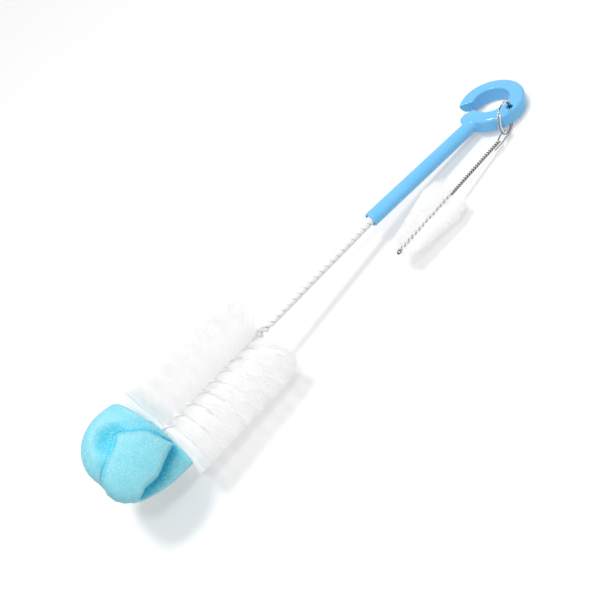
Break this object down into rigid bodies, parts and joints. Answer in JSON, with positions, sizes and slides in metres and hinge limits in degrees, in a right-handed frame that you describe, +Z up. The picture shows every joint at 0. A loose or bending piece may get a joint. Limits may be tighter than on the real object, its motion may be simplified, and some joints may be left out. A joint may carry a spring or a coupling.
{
  "type": "bottle brush",
  "caption": "Bottle brush with a hook handle, a twisted white stem, a round bristle head and a foam tip, and a small brush that hangs from a split ring in the hook.",
  "frame": {"origin": "the middle of the brush's footprint, on the table it rests on", "axes": "+Z up, +X along the brush from the hook towards the foam tip, +Y towards the side that the small brush lies on"},
  "size_m": [0.31, 0.0606, 0.0613],
  "materials": {
    "handle_plastic": "glossy light blue moulded plastic",
    "coated_wire": "white plastic coating, satin",
    "nylon_bristle": "translucent white nylon",
    "foam": "light blue open-cell foam",
    "ring_steel": "bright plated steel",
    "wire_steel": "drawn steel wire"
  },
  "bodies": {
    "brush": {"handle": "handle_plastic", "stem_wire_a": "coated_wire", "stem_wire_b": "coated_wire", "main_bristles": "nylon_bristle", "sponge": "foam"},
    "ring": {"split_ring": "ring_steel"},
    "small_brush": {"small_wire": "wire_steel", "small_bristles": "nylon_bristle"}
  },
  "joints": [
    {"name": "ring_swing", "type": "hinge", "parent": "brush", "child": "ring", "pos_m": [-0.1353, 0.00624, 0.00615], "axis": [-0.1077, 0, 0.9942], "range_deg": [-5, 110]},
    {"name": "small_brush_swing", "type": "hinge", "parent": "ring", "child": "small_brush", "pos_m": [-0.12229, 0.01136, 0.00386], "axis": [0.5757, 0.2649, 0.7736], "range_deg": [-5, 110]}
  ]
}
